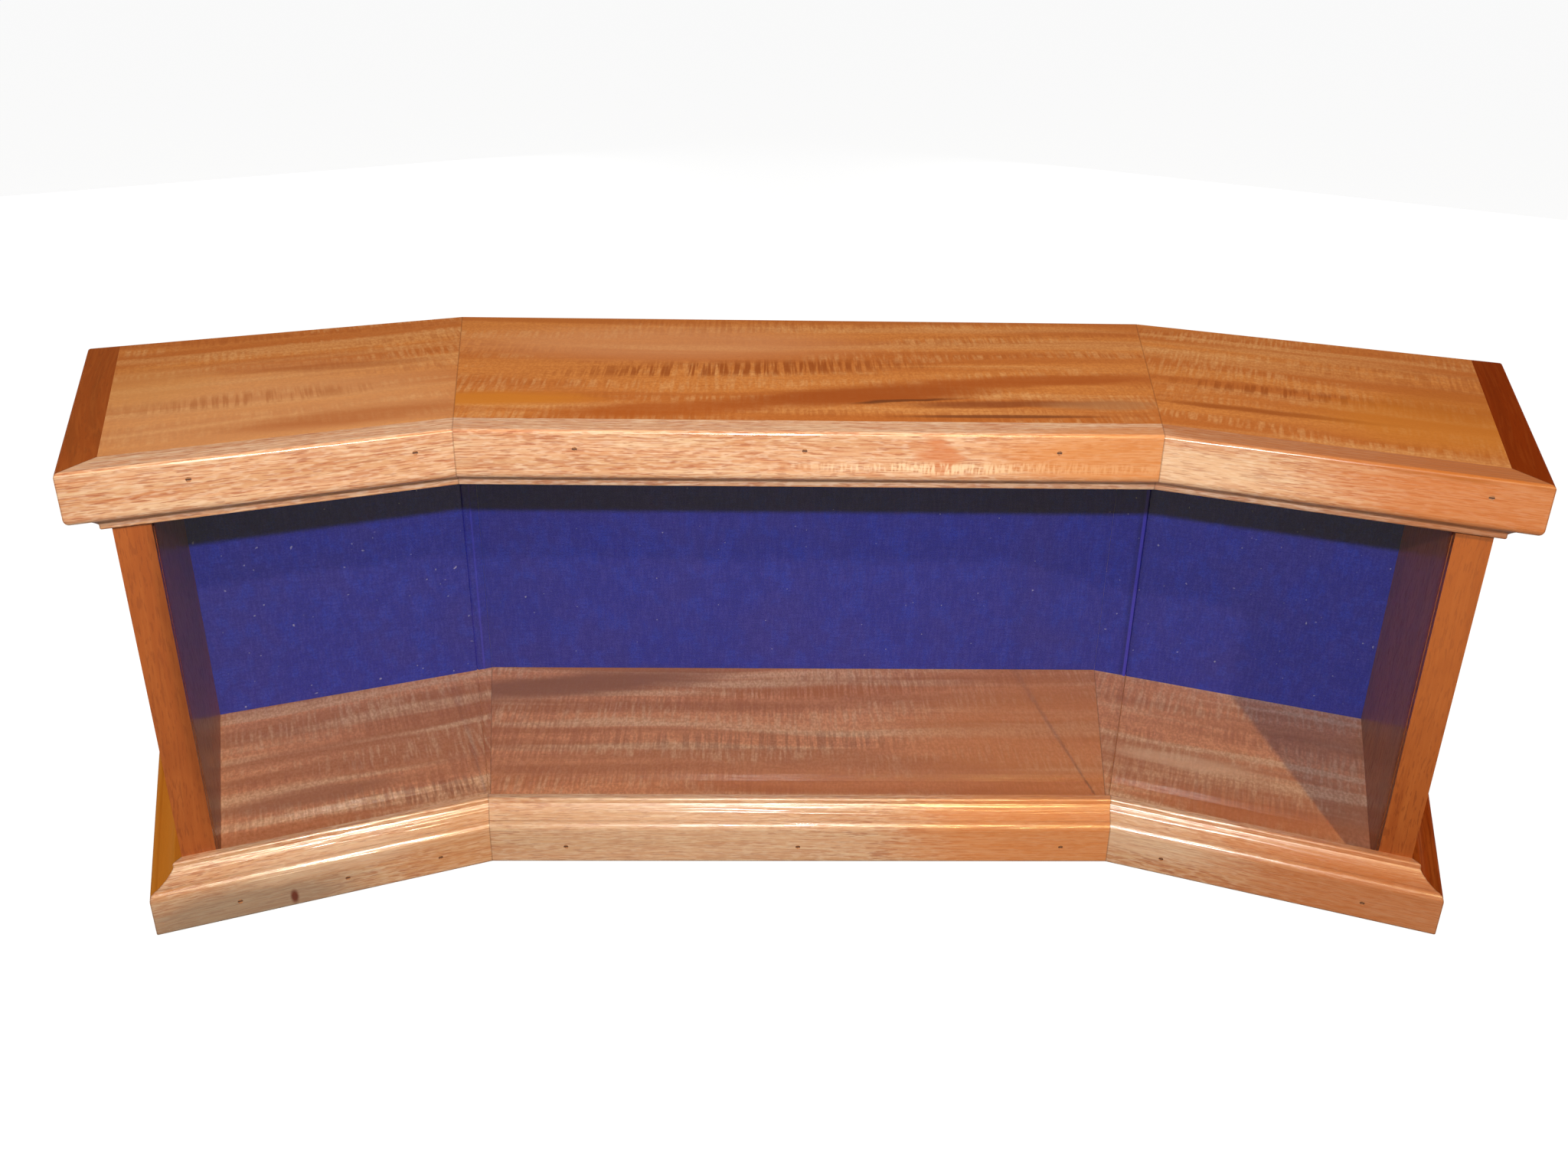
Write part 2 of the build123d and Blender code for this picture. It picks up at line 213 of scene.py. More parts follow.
endWood = {  # the darkest stock, thinly varnished
    "base": "#88380C", "rough": 0.5, "coat": 0.12, "coatRough": 0.3, "specular": 0.0,
    "layers": [
        {"cell": (160, 10, 10), "cut": (0.45, 0.62), "colour": "#72300C", "share": 0.6},
        {"cell": (60, 1.7, 1.7), "cut": (0.45, 0.68), "colour": "#A0521F", "share": 0.4, "detail": 1.0},
        {"cell": (12, 0.9, 0.9), "cut": (0.54, 0.70), "colour": "#5E260A", "share": 0.4, "relief": True},
    ],
}

# How the figure is laid on every board. The grain wanders to either side over the drift cell,
# marks have ragged edges, the pores are dull dents, and the varnish has ridges along the grain.
figure = {
    "driftCell": (190, 90, 90), "wander": 22, "shiftShares": (1, 1.3, 0.7),
    "edgeCell": (28, 7, 7), "ragged": (30, 5, 5),
    "pores": {"Strength": 0.4, "Distance": 0.1 * mm, "invert": True}, "poreRough": 0.15,
    "ridges": {"Strength": 0.6, "Distance": 0.04 * mm},
    "ridgeMask": {"cell": (240, 1.5, 1.5), "cut": (0.2, 0.8), "detail": 1.0},
}

# Where one piece is glued to the next, and the way the joint's plane faces
joints = {
    "foldLeft": {"spot": (-207, 0, 140), "tilt": 10.1},
    "foldRight": {"spot": (207, 0, 140), "tilt": -10.1},
    "cornerLeft": {"spot": (-356.2, -165.9, 140), "tilt": -24.75},
    "cornerRight": {"spot": (356.2, -165.9, 140), "tilt": 24.75},
}
glueLine = {"reach": (0.5, 4000, 4000), "core": 0.4, "colour": "#6A3E22", "share": 0.4, "on": "world"}
curl = {"cell": (2.1, 44, 44), "cut": (0.40, 0.60), "detail": 1.0}

# The bare back edges of the floor boards, darker than their faces
edgeMark = {"reach": (4000, 6, 4000), "colour": "#A85A2A", "share": 0.9, "on": "flat"}
wingEdge = {**edgeMark, "spot": (0, 168.6, 9)}
doorEdge = {**edgeMark, "spot": (0, 97, 9)}

# Each board: its wood, its bay, the way its grain runs if not along x, a shift that picks its
# own stretch of figure, the joints it meets, and the marks that only it has. A mark is placed in
# its bay's turned frame. Most marks are tone and figure; a few are painted shade or painted sheen.
boards = {
    "top_board_left": {
        "wood": topWood, "bay": "left", "shift": 0, "met": ["foldLeft"],
        "marks": [
            {"spot": (-300, 10, 280), "reach": (170, 120, 20), "colour": "#DEAA7C", "share": 0.4},
            {"spot": (-258, -4, 280), "reach": (90, 17, 20), "colour": "#A85C2A", "share": 0.6},
            {"spot": (-262, 86, 280), "reach": (80, 9, 20), "tilt": -4,
             "colour": "#A05422", "share": 0.55},
            {"spot": (-310, 42, 280), "reach": (95, 16, 20),
             "colour": "#A05826", "share": 0.45, "within": curl},
            {"spot": (-365, 80, 280), "reach": (50, 50, 20), "colour": "#CE945A", "share": 0.4},
        ],
    },
    "top_board_centre": {
        "wood": topWood, "bay": "centre", "shift": 700, "met": ["foldLeft", "foldRight"],
        "marks": [
            {"spot": (-90, 42, 280), "reach": (170, 48, 20), "colour": "#CE9168", "share": 0.5},
            {"spot": (-180, -64, 280), "reach": (85, 16, 20), "tilt": 2,
             "colour": "#C67A28", "share": 0.85},
            {"spot": (-75, -78, 280), "reach": (95, 17, 20), "tilt": 8,
             "colour": "#A8551A", "share": 0.85},
            {"spot": (35, -52, 280), "reach": (115, 22, 20), "tilt": 11,
             "colour": "#9C4C16", "share": 0.9},
            {"spot": (135, -25, 280), "reach": (115, 14, 20), "tilt": 6,
             "colour": "#A25018", "share": 0.75},
            {"spot": (-35, -7, 280), "reach": (150, 18, 20), "tilt": 6,
             "colour": "#954A16", "share": 0.85, "within": curl},
            {"spot": (60, 97, 280), "reach": (190, 15, 20), "colour": "#A85A1E", "share": 0.65},
            {"spot": (-150, 92, 280), "reach": (80, 12, 20), "colour": "#B0662A", "share": 0.5},
            {"spot": (52, -62, 280), "reach": (44, 3.6, 20), "tilt": 9,
             "colour": "#5A2C12", "share": 0.75},
            {"spot": (112, -66, 280), "reach": (80, 8, 20), "tilt": 3, "colour": "#86441E", "share": 0.8},
            {"spot": (105, -86, 280), "reach": (75, 3.6, 20), "tilt": 1,
             "colour": "#6A3A20", "share": 0.75, "on": "flat"},
            {"spot": (165, -66, 280), "reach": (45, 12, 20), "colour": "#A9744C", "share": 0.7},
        ],
    },
    "top_board_right": {
        "wood": topWood, "bay": "right", "shift": 1500, "met": ["foldRight"],
        "marks": [
            {"spot": (265, 18, 280), "reach": (95, 6, 20), "tilt": 2, "colour": "#964C16", "share": 0.8},
            {"spot": (275, 55, 280), "reach": (95, 12, 20),
             "colour": "#964C16", "share": 0.75, "within": curl},
            {"spot": (350, 30, 280), "reach": (85, 55, 20), "colour": "#C27626", "share": 0.7},
            {"spot": (370, 70, 280), "reach": (60, 40, 20), "colour": "#B0641E", "share": 0.5},
        ],
    },
    "floor_board_left": {
        "wood": floorWood, "bay": "left", "shift": 300, "met": ["foldLeft"],
        "marks": [
            {"spot": (-315, 40, 18), "reach": (80, 14, 20), "colour": "#A86C4E", "share": 0.6},
            {"spot": (-240, 20, 18), "reach": (60, 14, 20),
             "colour": "#A05A3C", "share": 0.7, "within": curl},
            wingEdge,
        ],
    },
    "floor_board_centre": {
        "wood": floorWood, "bay": "centre", "shift": 900, "met": ["foldLeft", "foldRight"],
        "marks": [
            {"spot": (-160, 62, 18), "reach": (150, 22, 20), "tilt": 8,
             "colour": "#A26A50", "share": 0.9},
            {"spot": (-20, -8, 18), "reach": (150, 16, 20),
             "colour": "#94583C", "share": 0.45, "within": curl},
            {"spot": (10, 54, 18), "reach": (120, 13, 20), "tilt": 5,
             "colour": "#C47444", "share": 0.8, "within": curl},
            {"spot": (180, 0, 18), "reach": (150, 110, 20), "colour": "#E08A4C", "share": 0.6},
            {"spot": (60, -60, 18), "reach": (170, 30, 20), "colour": "#C87A50", "share": 0.5},
            doorEdge,
        ],
    },
    "floor_board_right": {
        "wood": floorWood, "bay": "right", "shift": 1900, "met": ["foldRight"],
        "marks": [
            {"spot": (300, 20, 18), "reach": (90, 26, 20), "colour": "#CC7A4C", "share": 0.6},
            {"spot": (280, 30, 18), "reach": (90, 16, 20),
             "colour": "#A05A3C", "share": 0.35, "within": curl},
            {"spot": (250, 60, 18), "reach": (70, 12, 20), "colour": "#F6CDB0", "share": 0.5},
            wingEdge,
        ],
    },
    "side_panel_left": {
        "wood": postWood, "bay": "left", "grain": "z", "shift": 500,
        "marks": [
            {"spot": (-374, -24, 200), "reach": (60, 24, 300), "colour": "#B6683C", "share": 0.35},
            # painted shade over the inner face
            {"spot": (-365, 70, 160), "reach": (9, 150, 200), "colour": "#54280E", "share": 0.68},
        ],
    },
    "side_panel_right": {
        "wood": postWood, "bay": "right", "grain": "z", "shift": 900,
        "marks": [
            {"spot": (374, -24, 230), "reach": (60, 24, 190), "colour": "#C0703C", "share": 0.5},
        ],
    },
    "crown_moulding_left": {
        "wood": mouldingWood, "bay": "left", "shift": 2000, "met": ["foldLeft", "cornerLeft"],
    },
    "crown_moulding_centre": {
        "wood": mouldingWood, "bay": "centre", "shift": 2900, "met": ["foldLeft", "foldRight"],
        "marks": [
            {"spot": (66, -113, 268), "reach": (11, 20, 16), "colour": "#D07A48", "share": 0.7},
            {"spot": (105, -113, 260.5), "reach": (145, 30, 4), "colour": "#FFE0BC", "share": 0.75,
             "within": {"cell": (1.7, 8, 8), "cut": (0.40, 0.60)}},
            {"spot": (175, -113, 268), "reach": (110, 20, 30), "colour": "#DC8B48", "share": 0.7},
        ],
    },
    "crown_moulding_right": {
        "wood": mouldingWood, "bay": "right", "shift": 3800, "met": ["foldRight", "cornerRight"],
        "marks": [
            {"spot": (400, -41, 268), "reach": (140, 60, 60), "colour": "#CE7534", "share": 0.75},
            # a faint painted sheen near the fold
            {"spot": (232, -41, 264), "reach": (60, 40, 16), "colour": "#F4D8B8", "share": 0.3},
            {"spot": (330, -30, 284), "reach": (200, 40, 9), "core": 0.6,
             "colour": "#B4641E", "share": 0.75},
        ],
    },
    "base_moulding_left": {
        "wood": footWood, "bay": "left", "shift": 4700, "met": ["foldLeft", "cornerLeft"],
        "marks": [
            {"spot": (-352, -41, 6), "reach": (90, 40, 22), "colour": "#9E8878", "share": 0.75},
            # a painted sheen along the nose
            {"spot": (-300, -41, 24), "reach": (80, 40, 9), "colour": "#EBC9B0", "share": 0.5},
            {"spot": (-215, -41, 20), "reach": (70, 40, 40), "colour": "#E09A62", "share": 0.4},
            {"spot": (-327, -41, 7), "reach": (3, 30, 6.5),
             "colour": "#6E2C12", "share": 1.0, "on": "flat"},
        ],
    },
    "base_moulding_centre": {
        "wood": footWood, "bay": "centre", "shift": 5600, "met": ["foldLeft", "foldRight"],
        "marks": [
            # a broad painted sheen, left of the middle
            {"spot": (-80, -113, 18), "reach": (150, 60, 60), "colour": "#F0CEB2", "share": 0.3},
            {"spot": (150, -113, 18), "reach": (120, 60, 60), "colour": "#E28842", "share": 0.7},
        ],
    },
    "base_moulding_right": {
        "wood": footWood, "bay": "right", "shift": 6500, "met": ["foldRight", "cornerRight"],
        "marks": [
            {"spot": (400, -41, 18), "reach": (170, 60, 60), "colour": "#C87236", "share": 0.75},
            # a painted sheen along the nose near the fold
            {"spot": (235, -41, 20), "reach": (70, 60, 14), "colour": "#F0D0B8", "share": 0.4},
        ],
    },
    "crown_end_left": {
        "wood": endWood, "bay": "left", "grain": "y", "shift": 7400, "met": ["cornerLeft"],
        "marks": [
            {"spot": (-400, 0, 268), "reach": (400, 400, 400), "core": 0.8,
             "colour": "#A86434", "share": 0.35},
        ],
    },
    "crown_end_right": {
        "wood": endWood, "bay": "right", "grain": "y", "shift": 8300, "met": ["cornerRight"],
        "marks": [
            {"spot": (400, 0, 268), "reach": (400, 400, 400), "core": 0.8,
             "colour": "#762800", "share": 0.6},
        ],
    },
    "base_end_left": {
        "wood": endWood, "bay": "left", "grain": "y", "shift": 9200, "met": ["cornerLeft"],
        "marks": [
            {"spot": (-400, 0, 40), "reach": (400, 400, 25), "core": 0.6,
             "colour": "#C07A28", "share": 0.75},
        ],
    },
    "base_end_right": {
        "wood": endWood, "bay": "right", "grain": "y", "shift": 10100, "met": ["cornerRight"],
    },
}


# Soft noise between -0.5 and 0.5 on each axis
def makeDrift(tree, source, cell, start=0):
    settings = {"Scale": [1 / size for size in cell], "Location": (start, start, start)}
    placed = addNode(tree, "Mapping", settings, {"Vector": source})
    noise = addNode(tree, "TexNoise", {"Scale": 1.0, "Detail": 1.0}, {"Vector": placed.outputs[0]})
    middle = {"operation": "SUBTRACT", 1: (0.5, 0.5, 0.5)}
    return addNode(tree, "VectorMath", middle, {0: noise.outputs["Color"]}).outputs[0]


def makeWood(name, board):
    wood = board["wood"]
    material, tree, shader = newMaterial("mahogany_" + name, {
        "Coat Weight": wood["coat"], "Coat Roughness": wood["coatRough"],
        "Specular IOR Level": wood.get("specular", 0.3),
    })
    # which of along, across and through goes to x, y and z
    order = {"x": (0, 1, 2), "y": (1, 0, 2), "z": (2, 1, 0)}[board.get("grain", "x")]

    def along(sizes):
        return [sizes[i] for i in order]

    def layAlong(layer):
        laid = dict(layer, cell=along(layer["cell"]))
        if "within" in layer:
            laid["within"] = layAlong(layer["within"])
        return laid

    world, flat = makePlace(tree, board["bay"])
    wander = wood.get("wander", figure["wander"])
    drift = makeDrift(tree, flat, along(figure["driftCell"]), board["shift"])
    bent = addNode(
        tree, "VectorMath",
        {"operation": "MULTIPLY_ADD", 1: along((0, wander, wander))}, {0: drift, 2: flat},
    )
    shift = [board["shift"] * share for share in figure["shiftShares"]]
    drawn = addNode(tree, "VectorMath", {"operation": "ADD", 1: shift}, {0: bent.outputs[0]}).outputs[0]
    edges = makeDrift(tree, drawn, along(figure["edgeCell"]))
    ragged = addNode(
        tree, "VectorMath",
        {"operation": "MULTIPLY_ADD", 1: along(figure["ragged"])}, {0: edges, 2: flat},
    ).outputs[0]
    vectors = {"world": world, "flat": flat, "ragged": ragged, "grain": drawn}
    layers = [layAlong(layer) for layer in wood["layers"]]
    glued = [{**glueLine, **joints[joint]} for joint in board.get("met", [])]
    layers = layers + board.get("marks", []) + glued
    colour, pores = paintLayers(tree, vectors, wood["base"], layers)
    tree.links.new(colour, shader.inputs["Base Color"])
    limits = {"To Min": wood["rough"], "To Max": wood["rough"] + figure["poreRough"]}
    rough = addNode(tree, "MapRange", limits, {0: pores})
    tree.links.new(rough.outputs[0], shader.inputs["Roughness"])
    dents = addNode(tree, "Bump", figure["pores"], {"Height": pores})
    tree.links.new(dents.outputs[0], shader.inputs["Normal"])
    ridges = makeMask(tree, vectors, layAlong(figure["ridgeMask"]))
    varnish = addNode(tree, "Bump", {**figure["ridges"], **wood.get("ridges", {})}, {"Height": ridges})
    tree.links.new(varnish.outputs[0], shader.inputs["Coat Normal"])
    return material


for name, board in boards.items():
    dress([name], makeWood(name, board))
print("wood done:", len(boards), "boards")

# Birch plywood under one thin coat: broad cream figure on the faces, pale and brown plies
# where the board is cut
plywood = {
    "base": "#D9BC8C", "plies": "#8E6436", "plyPitch": 1.6, "edgeShares": (0.8, 0.5),
    "finish": {"Roughness": 0.55, "Coat Weight": 0.15, "Coat Roughness": 0.3},
    "pores": {"Strength": 0.4, "Distance": 0.1 * mm, "invert": True},
    "layers": [
        {"cell": (60, 60, 300), "cut": (0.42, 0.62), "colour": "#CBA873", "share": 0.6, "distortion": 1.0},
        {"cell": (6, 6, 90), "cut": (0.50, 0.70), "colour": "#B98F5C", "share": 0.45, "distortion": 0.5},
        {"cell": (0.9, 0.9, 12), "cut": (0.56, 0.74), "colour": "#9C7444", "share": 0.4, "relief": True},
    ],
}


def makePlywood(bay):
    material, tree, shader = newMaterial("birchPlywood_" + bay, plywood["finish"])
    flat = makePlace(tree, bay)[1]
    colour, pores = paintLayers(tree, {"grain": flat}, plywood["base"], plywood["layers"])
    # a wave's scale of pi / 10 gives one band to each millimetre
    waves = {"bands_direction": "Y", "Scale": math.pi / 10 / plywood["plyPitch"]}
    plies = addNode(tree, "TexWave", waves, {"Vector": flat})
    edge = makeEdgeMask(tree, bay, plywood["edgeShares"])
    brown = addNode(tree, "Math", {"operation": "MULTIPLY"}, {0: edge, 1: plies.outputs[1]})
    mix = addNode(
        tree, "Mix",
        {"data_type": "RGBA", 7: toLinear(plywood["plies"])}, {0: brown.outputs[0], 6: colour},
    )
    tree.links.new(mix.outputs[2], shader.inputs["Base Color"])
    dents = addNode(tree, "Bump", plywood["pores"], {"Height": pores})
    tree.links.new(dents.outputs[0], shader.inputs["Normal"])
    return material


dress(["back_panel_left"], makePlywood("left"))
dress(["rear_door_panel"], makePlywood("centre"))
dress(["back_panel_right"], makePlywood("right"))

# Satin rolled brass is warm, with cloudy handling marks and fine rolling lines; turned brass is
# brighter and smoother, with fine rings
metals = {
    "satinBrass": {"colour": "#D9B25C", "worn": "#B98F45", "rough": 0.26, "line": (30, 0.5, 0.5)},
    "turnedBrass": {"colour": "#E3BE6A", "worn": "#C29A4E", "rough": 0.18, "line": (4, 4, 0.3)},
}
wear = {
    "cloud": {"cell": (9, 9, 9), "cut": (0.40, 0.68), "share": 0.6},
    "lines": {"cut": (0.50, 0.72), "share": 0.4, "relief": True},
    "lineRough": 0.14, "lineRelief": {"Strength": 0.3, "Distance": 0.03 * mm},
}


def makeMetal(name):
    metal = metals[name]
    material, tree, shader = newMaterial(name, {"Metallic": 1.0})
    world = makePlace(tree, "centre")[0]
    colour, lines = paintLayers(tree, {"grain": world}, metal["colour"], [
        {**wear["cloud"], "colour": metal["worn"]},
        {**wear["lines"], "colour": metal["worn"], "cell": metal["line"]},
    ])
    tree.links.new(colour, shader.inputs["Base Color"])
    limits = {"To Min": metal["rough"], "To Max": metal["rough"] + wear["lineRough"]}
    rough = addNode(tree, "MapRange", limits, {0: lines})
    tree.links.new(rough.outputs[0], shader.inputs["Roughness"])
    fine = addNode(tree, "Bump", wear["lineRelief"], {"Height": lines})
    tree.links.new(fine.outputs[0], shader.inputs["Normal"])
    return material


satinBrass = makeMetal("satinBrass")
turnedBrass = makeMetal("turnedBrass")
for end in ("lower", "upper"):
    dress(["hinge_leaf_case_" + end, "hinge_leaf_door_" + end, "hinge_pin_" + end], satinBrass)
for end in ("top", "bottom"):
    dress(["turn_button_" + end], satinBrass)
    dress(["turn_button_screw_" + end], turnedBrass)
dress(["case_leaf_screws", "door_leaf_screws", "door_knob"], turnedBrass)

# Brads sunk under brown wax, rubbed level with the varnish: the dark steel shows through as a
# short line along the grain. Each row has the height of its line.
brads = {
    "wax": "#C2875E", "speck": "#8A5533", "steel": "#55382C", "line": 0.6,
    "dent": {"Strength": 0.4, "Distance": 0.2 * mm, "invert": True},
    "rows": {"crown_brads": 269.5, "base_brads": 11.5},
}


def makeBrads(name, level):
    material, tree, shader = newMaterial("waxStopping_" + name, {"Roughness": 0.5})
    world = makePlace(tree, "centre")[0]
    colour, lines = paintLayers(tree, {"grain": world, "world": world}, brads["wax"], [
        {"cell": (0.8, 0.8, 0.8), "cut": (0.40, 0.65), "colour": brads["speck"], "share": 0.6},
        {"spot": (0, 0, level), "reach": (4000, 4000, brads["line"]), "core": 0.5,
         "colour": brads["steel"], "share": 0.95, "on": "world", "relief": True},
    ])
    tree.links.new(colour, shader.inputs["Base Color"])
    dents = addNode(tree, "Bump", brads["dent"], {"Height": lines})
    tree.links.new(dents.outputs[0], shader.inputs["Normal"])
    return material


for name, level in brads["rows"].items():
    dress([name], makeBrads(name, level))
print("plywood and metal done")

# Clear float glass: colourless across, grey green at its polished edges. Lamps shine straight
# through it, and so does the light that the felt and the wood send back, so only the edges
# leave a thin shadow.
glass = {
    "face": "#FDFFFE", "edge": "#8FB8A4", "clear": "#FFFFFF", "edgeShade": "#4A5E54",
    "edgeShares": (0.99, 0.97),
    "finish": {"Roughness": 0.0, "IOR": 1.5, "Transmission Weight": 1.0},
}


def makeGlass(bay):
    material, tree, shader = newMaterial("floatGlass_" + bay, glass["finish"])
    edge = makeEdgeMask(tree, bay, glass["edgeShares"])
    colours = {"data_type": "RGBA", 6: toLinear(glass["face"]), 7: toLinear(glass["edge"])}
    tint = addNode(tree, "Mix", colours, {0: edge})
    tree.links.new(tint.outputs[2], shader.inputs["Base Color"])
    colours = {"data_type": "RGBA", 6: toLinear(glass["clear"]), 7: toLinear(glass["edgeShade"])}
    shade = addNode(tree, "Mix", colours, {0: edge})
    clear = addNode(tree, "BsdfTransparent", None, {"Color": shade.outputs[2]})
    rays = addNode(tree, "LightPath")
    straight = addNode(
        tree, "Math", {"operation": "MAXIMUM"},
        {0: rays.outputs["Is Shadow Ray"], 1: rays.outputs["Is Diffuse Ray"]},
    )
    mix = addNode(
        tree, "MixShader", None, {0: straight.outputs[0], 1: shader.outputs[0], 2: clear.outputs[0]}
    )
    tree.links.new(mix.outputs[0], tree.nodes["Material Output"].inputs["Surface"])
    return material


for bay in turns:
    dress(["glass_pane_" + bay], makeGlass(bay))

# Dyed wool felt: dull and even, matted from short fibres, paler where the nap stands up
felt = {
    "base": "#2C30A6", "thickness": 1.2, "meshStep": 4.0, "smoothAngle": 50,
    "finish": {
        "Roughness": 0.95, "Specular IOR Level": 0.1,
        "Sheen Weight": 0.1, "Sheen Roughness": 0.5, "Sheen Tint": toLinear("#7A7AD0"),
    },
    "nap": {"Strength": 0.3, "Distance": 0.1 * mm},
    "layers": [
        {"cell": (50, 50, 50), "cut": (0.42, 0.64), "colour": "#3B359A", "share": 0.6},
        {"cell": (9, 9, 14), "cut": (0.46, 0.66), "colour": "#2844D2", "share": 0.35},
        {"cell": (1.6, 1.6, 8), "cut": (0.42, 0.66), "colour": "#4A45B8", "share": 0.35, "detail": 1.0},
        {"cell": (8, 8, 1.6), "cut": (0.42, 0.66), "colour": "#25268A", "share": 0.3, "detail": 1.0},
        {"cell": (1.1, 1.1, 1.1), "cut": (0.40, 0.62), "colour": "#232482", "share": 0.45, "relief": True},
        {"cell": (2.6, 2.6, 2.6), "cut": (0.83, 0.88), "colour": "#A6A6D0", "share": 0.6, "detail": 0.0},
        # the lip of the right seam, with a painted shadow beside it and a painted highlight along it, and a
        # painted highlight along the shut left seam
        {"spot": (242.6, 79.0, 140), "reach": (6, 4000, 4000), "tilt": -wingAngle,
         "colour": "#1E1C74", "share": 0.45, "on": "world"},
        {"spot": (242.6, 79.0, 140), "reach": (1.7, 4000, 4000), "tilt": -wingAngle,
         "colour": "#4A44E0", "share": 0.8, "on": "world"},
        {"spot": (-227.6, 84.5, 140), "reach": (0.9, 4000, 4000), "tilt": wingAngle,
         "colour": "#4440D0", "share": 0.5, "on": "world"},
    ],
}


def makeFelt():
    material, tree, shader = newMaterial("woolFelt", felt["finish"])
    world = makePlace(tree, "centre")[0]
    colour, fibres = paintLayers(tree, {"grain": world, "world": world}, felt["base"], felt["layers"])
    tree.links.new(colour, shader.inputs["Base Color"])
    nap = addNode(tree, "Bump", felt["nap"], {"Height": fibres})
    tree.links.new(nap.outputs[0], shader.inputs["Normal"])
    return material


# One stretched sheet of felt for each bay, glued to its board, given by the foot of its inner
# end. The wing linings have a seam where a second length of felt starts, that far from the foot:
# on the right it stands up as a soft lip.
linings = {
    "left": {
        "foot": (-222.4, 86.4, 18.0), "size": (186.0, 244.0),
        "seam": {"at": 5.7, "rise": 0.35, "half": 1.2},
        "behind": "back_panel_left", "body": "case",
    },
    "centre": {
        "foot": (-222.1, 86.4, 18.3), "size": (444.2, 243.4),
        "seam": None,
        "behind": "rear_door_panel", "body": "rear_door",
    },
    "right": {
        "foot": (222.4, 86.4, 18.0), "size": (186.0, 244.0),
        "seam": {"at": 22.0, "rise": 0.9, "half": 1.7},
        "behind": "back_panel_right", "body": "case",
    },
}


# Three cuts down the sheet, the middle one pulled forwards
def raiseSeam(piece, seam, way):
    at, rise, half = [seam[key] * mm for key in ("at", "rise", "half")]
    bpy.ops.object.mode_set(mode="EDIT")
    for offset in (-half, 0, half):
        bpy.ops.mesh.select_all(action="SELECT")
        bpy.ops.mesh.bisect(plane_co=(way * (at + offset), 0, 0), plane_no=(1, 0, 0))
    bpy.ops.mesh.select_all(action="DESELECT")
    bpy.ops.object.mode_set(mode="OBJECT")
    for vertex in piece.data.vertices:
        vertex.select = abs(abs(vertex.co.x) - at) < half * 0.9
    bpy.ops.object.mode_set(mode="EDIT")
    bpy.ops.transform.translate(value=(0, -rise, 0))
    bpy.ops.object.mode_set(mode="OBJECT")


def makeLining(bay, material):
    lining = linings[bay]
    width, height = [size * mm for size in lining["size"]]
    way = -1 if bay == "left" else 1  # the left sheet runs to the left of its foot
    bpy.ops.object.select_all(action="DESELECT")
    bpy.ops.mesh.primitive_grid_add(
        x_subdivisions=round(width / mm / felt["meshStep"]),
        y_subdivisions=round(height / mm / felt["meshStep"]),
        size=1.0, location=(way * width / 2, 0, height / 2), rotation=(math.pi / 2, 0, 0),
    )
    piece = bpy.context.object
    piece.name = "felt_sheet_" + bay
    piece.scale = (width, height, 1)
    bpy.ops.object.transform_apply(location=True, rotation=True, scale=True)
    if lining["seam"]:
        raiseSeam(piece, lining["seam"], way)
    thick = piece.modifiers.new("thickness", "SOLIDIFY")
    thick.thickness = felt["thickness"] * mm
    thick.offset = 0
    bpy.ops.object.modifier_apply(modifier=thick.name)
    piece.rotation_euler[2] = -math.radians(turns[bay])
    piece.location = [size * mm for size in lining["foot"]]
    bpy.ops.object.transform_apply(location=True, rotation=True, scale=True)
    bpy.ops.object.shade_smooth_by_angle(angle=math.radians(felt["smoothAngle"]))
    piece.data.materials.append(material)
    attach(piece, lining["body"])
    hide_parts("felt_lining_" + bay)


woolFelt = makeFelt()
for bay in linings:
    makeLining(bay, woolFelt)
print("glass and felt done")


# 1 for rays of one kind, as long as each named depth is still nought on their way from the
# camera, so that light which has met a dull surface counts as plain room light
def straightRays(tree, rays, kind, depths):
    share = rays.outputs[kind]
    for depth in depths:
        first = addNode(tree, "Math", {"operation": "LESS_THAN", 1: 0.5}, {0: rays.outputs[depth]})
        share = addNode(tree, "Math", {"operation": "MULTIPLY"}, {0: share, 1: first.outputs[0]}).outputs[0]
    return share


# What the camera sees itself or through a pane
def seenRays(tree, rays):
    through = straightRays(tree, rays, "Is Transmission Ray", ["Diffuse Depth", "Glossy Depth"])
    direct = rays.outputs["Is Camera Ray"]
    return addNode(tree, "Math", {"operation": "MAXIMUM"}, {0: direct, 1: through}).outputs[0]


# Pale paper that the camera sees as white, with the object's shadow left on it. It is dimmer
# to the glass and the varnish, most of all in front of the case, so their reflections stay as
# faint as in a dim room. The room round it is white to the camera too.
studio = {
    "width": 40000, "drop": 0.4, "paper": "#F2F2F2", "litPaper": "#5F5F5F",
    "glow": 1.1, "seen": 0.86,
    "frontEnds": 90, "backStarts": 120, "mirrored": {"front": 0.08, "back": 0.86},
    "room": 0.035, "mirroredRoom": 0.08,
}


